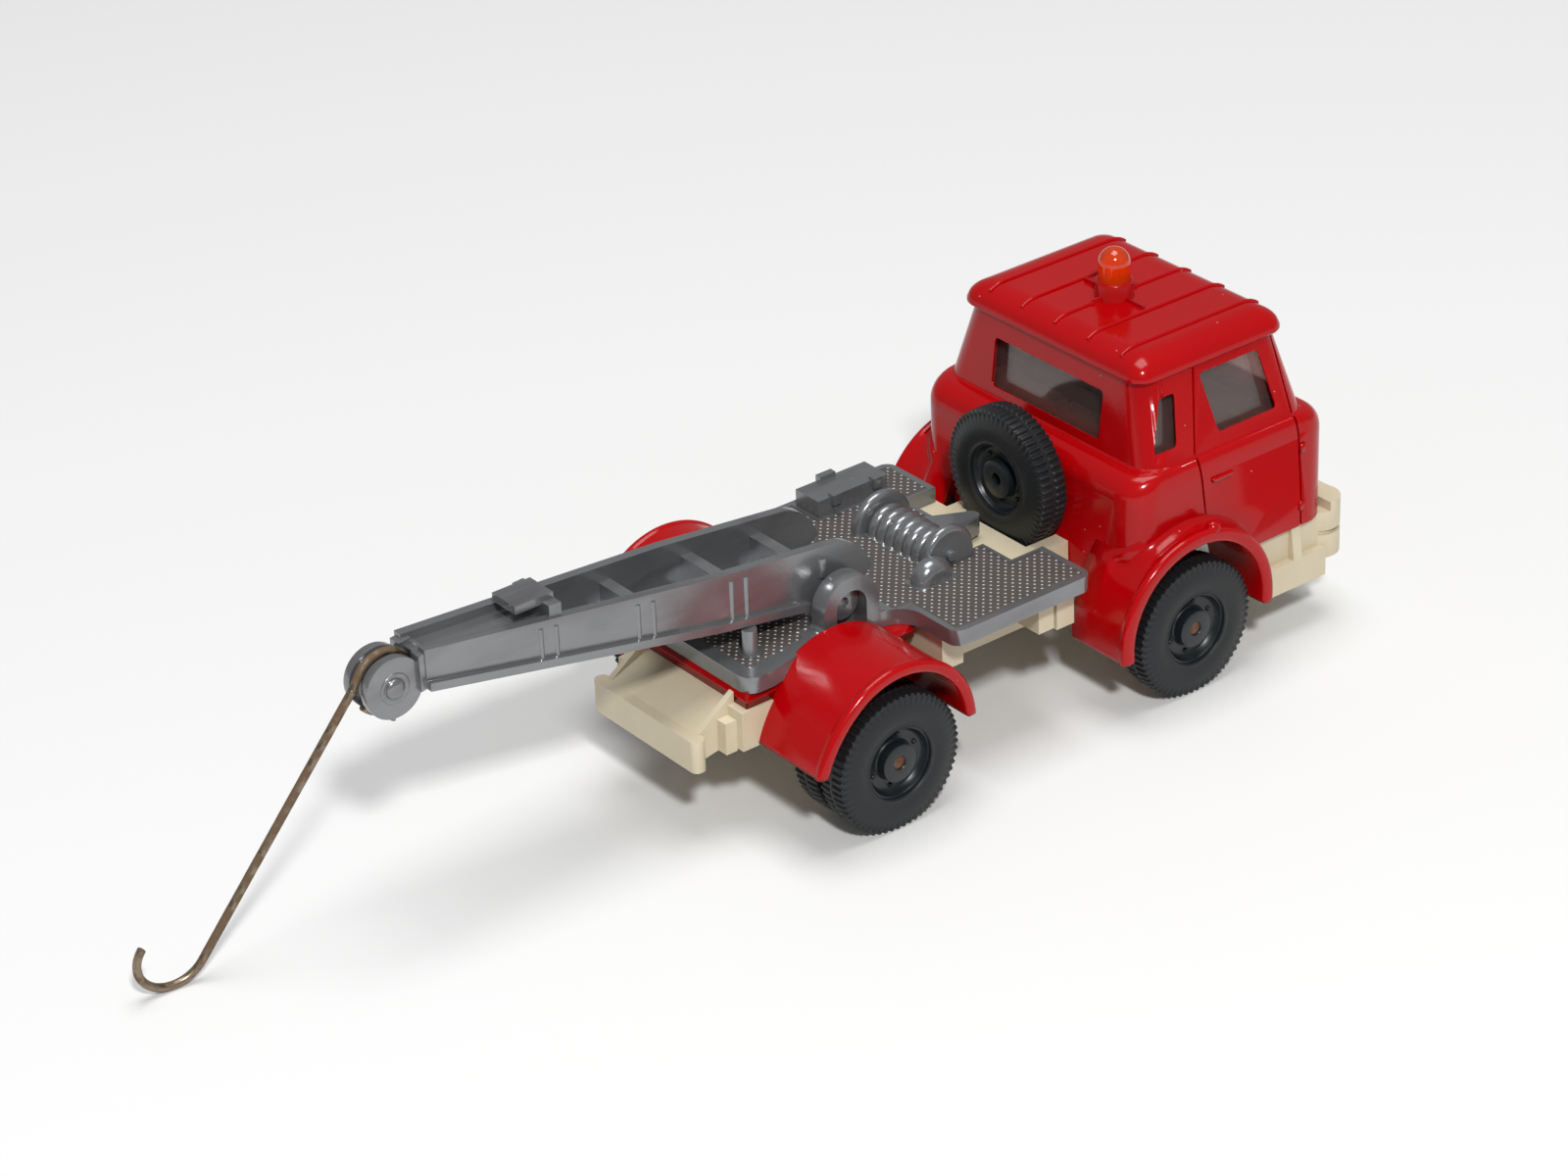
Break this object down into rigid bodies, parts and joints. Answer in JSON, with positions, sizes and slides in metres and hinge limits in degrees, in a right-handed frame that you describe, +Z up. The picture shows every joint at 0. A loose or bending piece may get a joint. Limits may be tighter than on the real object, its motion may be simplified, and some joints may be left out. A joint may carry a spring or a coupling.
{
  "type": "toy tow truck",
  "caption": "Cab-over toy tow truck with a crane boom that tips up from the rear deck, a grooved sheave, a swinging wire hook and rolling wheels.",
  "frame": {"origin": "on the ground, under the middle of the bounding box", "axes": "+X the way the truck drives, +Y its left side, +Z up"},
  "size_m": [0.1007, 0.0288, 0.0314],
  "materials": {
    "red_plastic": "gloss",
    "window_clear": "clear",
    "beige_plastic": "satin",
    "dark_plastic": "satin",
    "beacon_orange": "gloss",
    "cream_plastic": "satin",
    "grey_plastic": "satin",
    "hook_steel": "worn",
    "axle_steel": "worn",
    "tyre_plastic": "satin",
    "rim_plastic": "satin"
  },
  "bodies": {
    "truck": {"cab_shell": "red_plastic", "cab_glazing": "window_clear", "cab_interior": "beige_plastic", "steering_wheel": "dark_plastic", "beacon_lens": "beacon_orange", "chassis": "cream_plastic", "rear_mudguards": "red_plastic", "deck_plate": "grey_plastic", "spare_tyre": "tyre_plastic", "spare_rim": "rim_plastic"},
    "front_wheels": {"front_axle": "axle_steel", "front_left_tyre": "tyre_plastic", "front_left_rim": "rim_plastic", "front_right_tyre": "tyre_plastic", "front_right_rim": "rim_plastic"},
    "rear_wheels": {"rear_axle": "axle_steel", "rear_left_outer_tyre": "tyre_plastic", "rear_left_outer_rim": "rim_plastic", "rear_left_inner_tyre": "tyre_plastic", "rear_left_inner_rim": "rim_plastic", "rear_right_outer_tyre": "tyre_plastic", "rear_right_outer_rim": "rim_plastic", "rear_right_inner_tyre": "tyre_plastic", "rear_right_inner_rim": "rim_plastic"},
    "boom": {"boom": "grey_plastic", "sheave_pin": "grey_plastic"},
    "sheave": {"boom_sheave": "grey_plastic"},
    "hook": {"tow_hook": "hook_steel"}
  },
  "joints": [
    {"name": "front_axle_spin", "type": "hinge", "parent": "truck", "child": "front_wheels", "pos_m": [0.03313, 0, 0.0056], "axis": [0, 1, 0], "continuous": true},
    {"name": "rear_axle_spin", "type": "hinge", "parent": "truck", "child": "rear_wheels", "pos_m": [0.00403, 0, 0.0056], "axis": [0, 1, 0], "continuous": true},
    {"name": "boom_lift", "type": "hinge", "parent": "truck", "child": "boom", "pos_m": [0.00633, 0, 0.0143], "axis": [0, 1, 0], "range_deg": [0, 36]},
    {"name": "sheave_spin", "type": "hinge", "parent": "boom", "child": "sheave", "pos_m": [-0.03032, 0, 0.02004], "axis": [0, 1, 0], "continuous": true},
    {"name": "hook_swing", "type": "hinge", "parent": "boom", "child": "hook", "pos_m": [-0.03032, 0, 0.02004], "axis": [0, -1, 0], "range_deg": [-50, 69]}
  ]
}
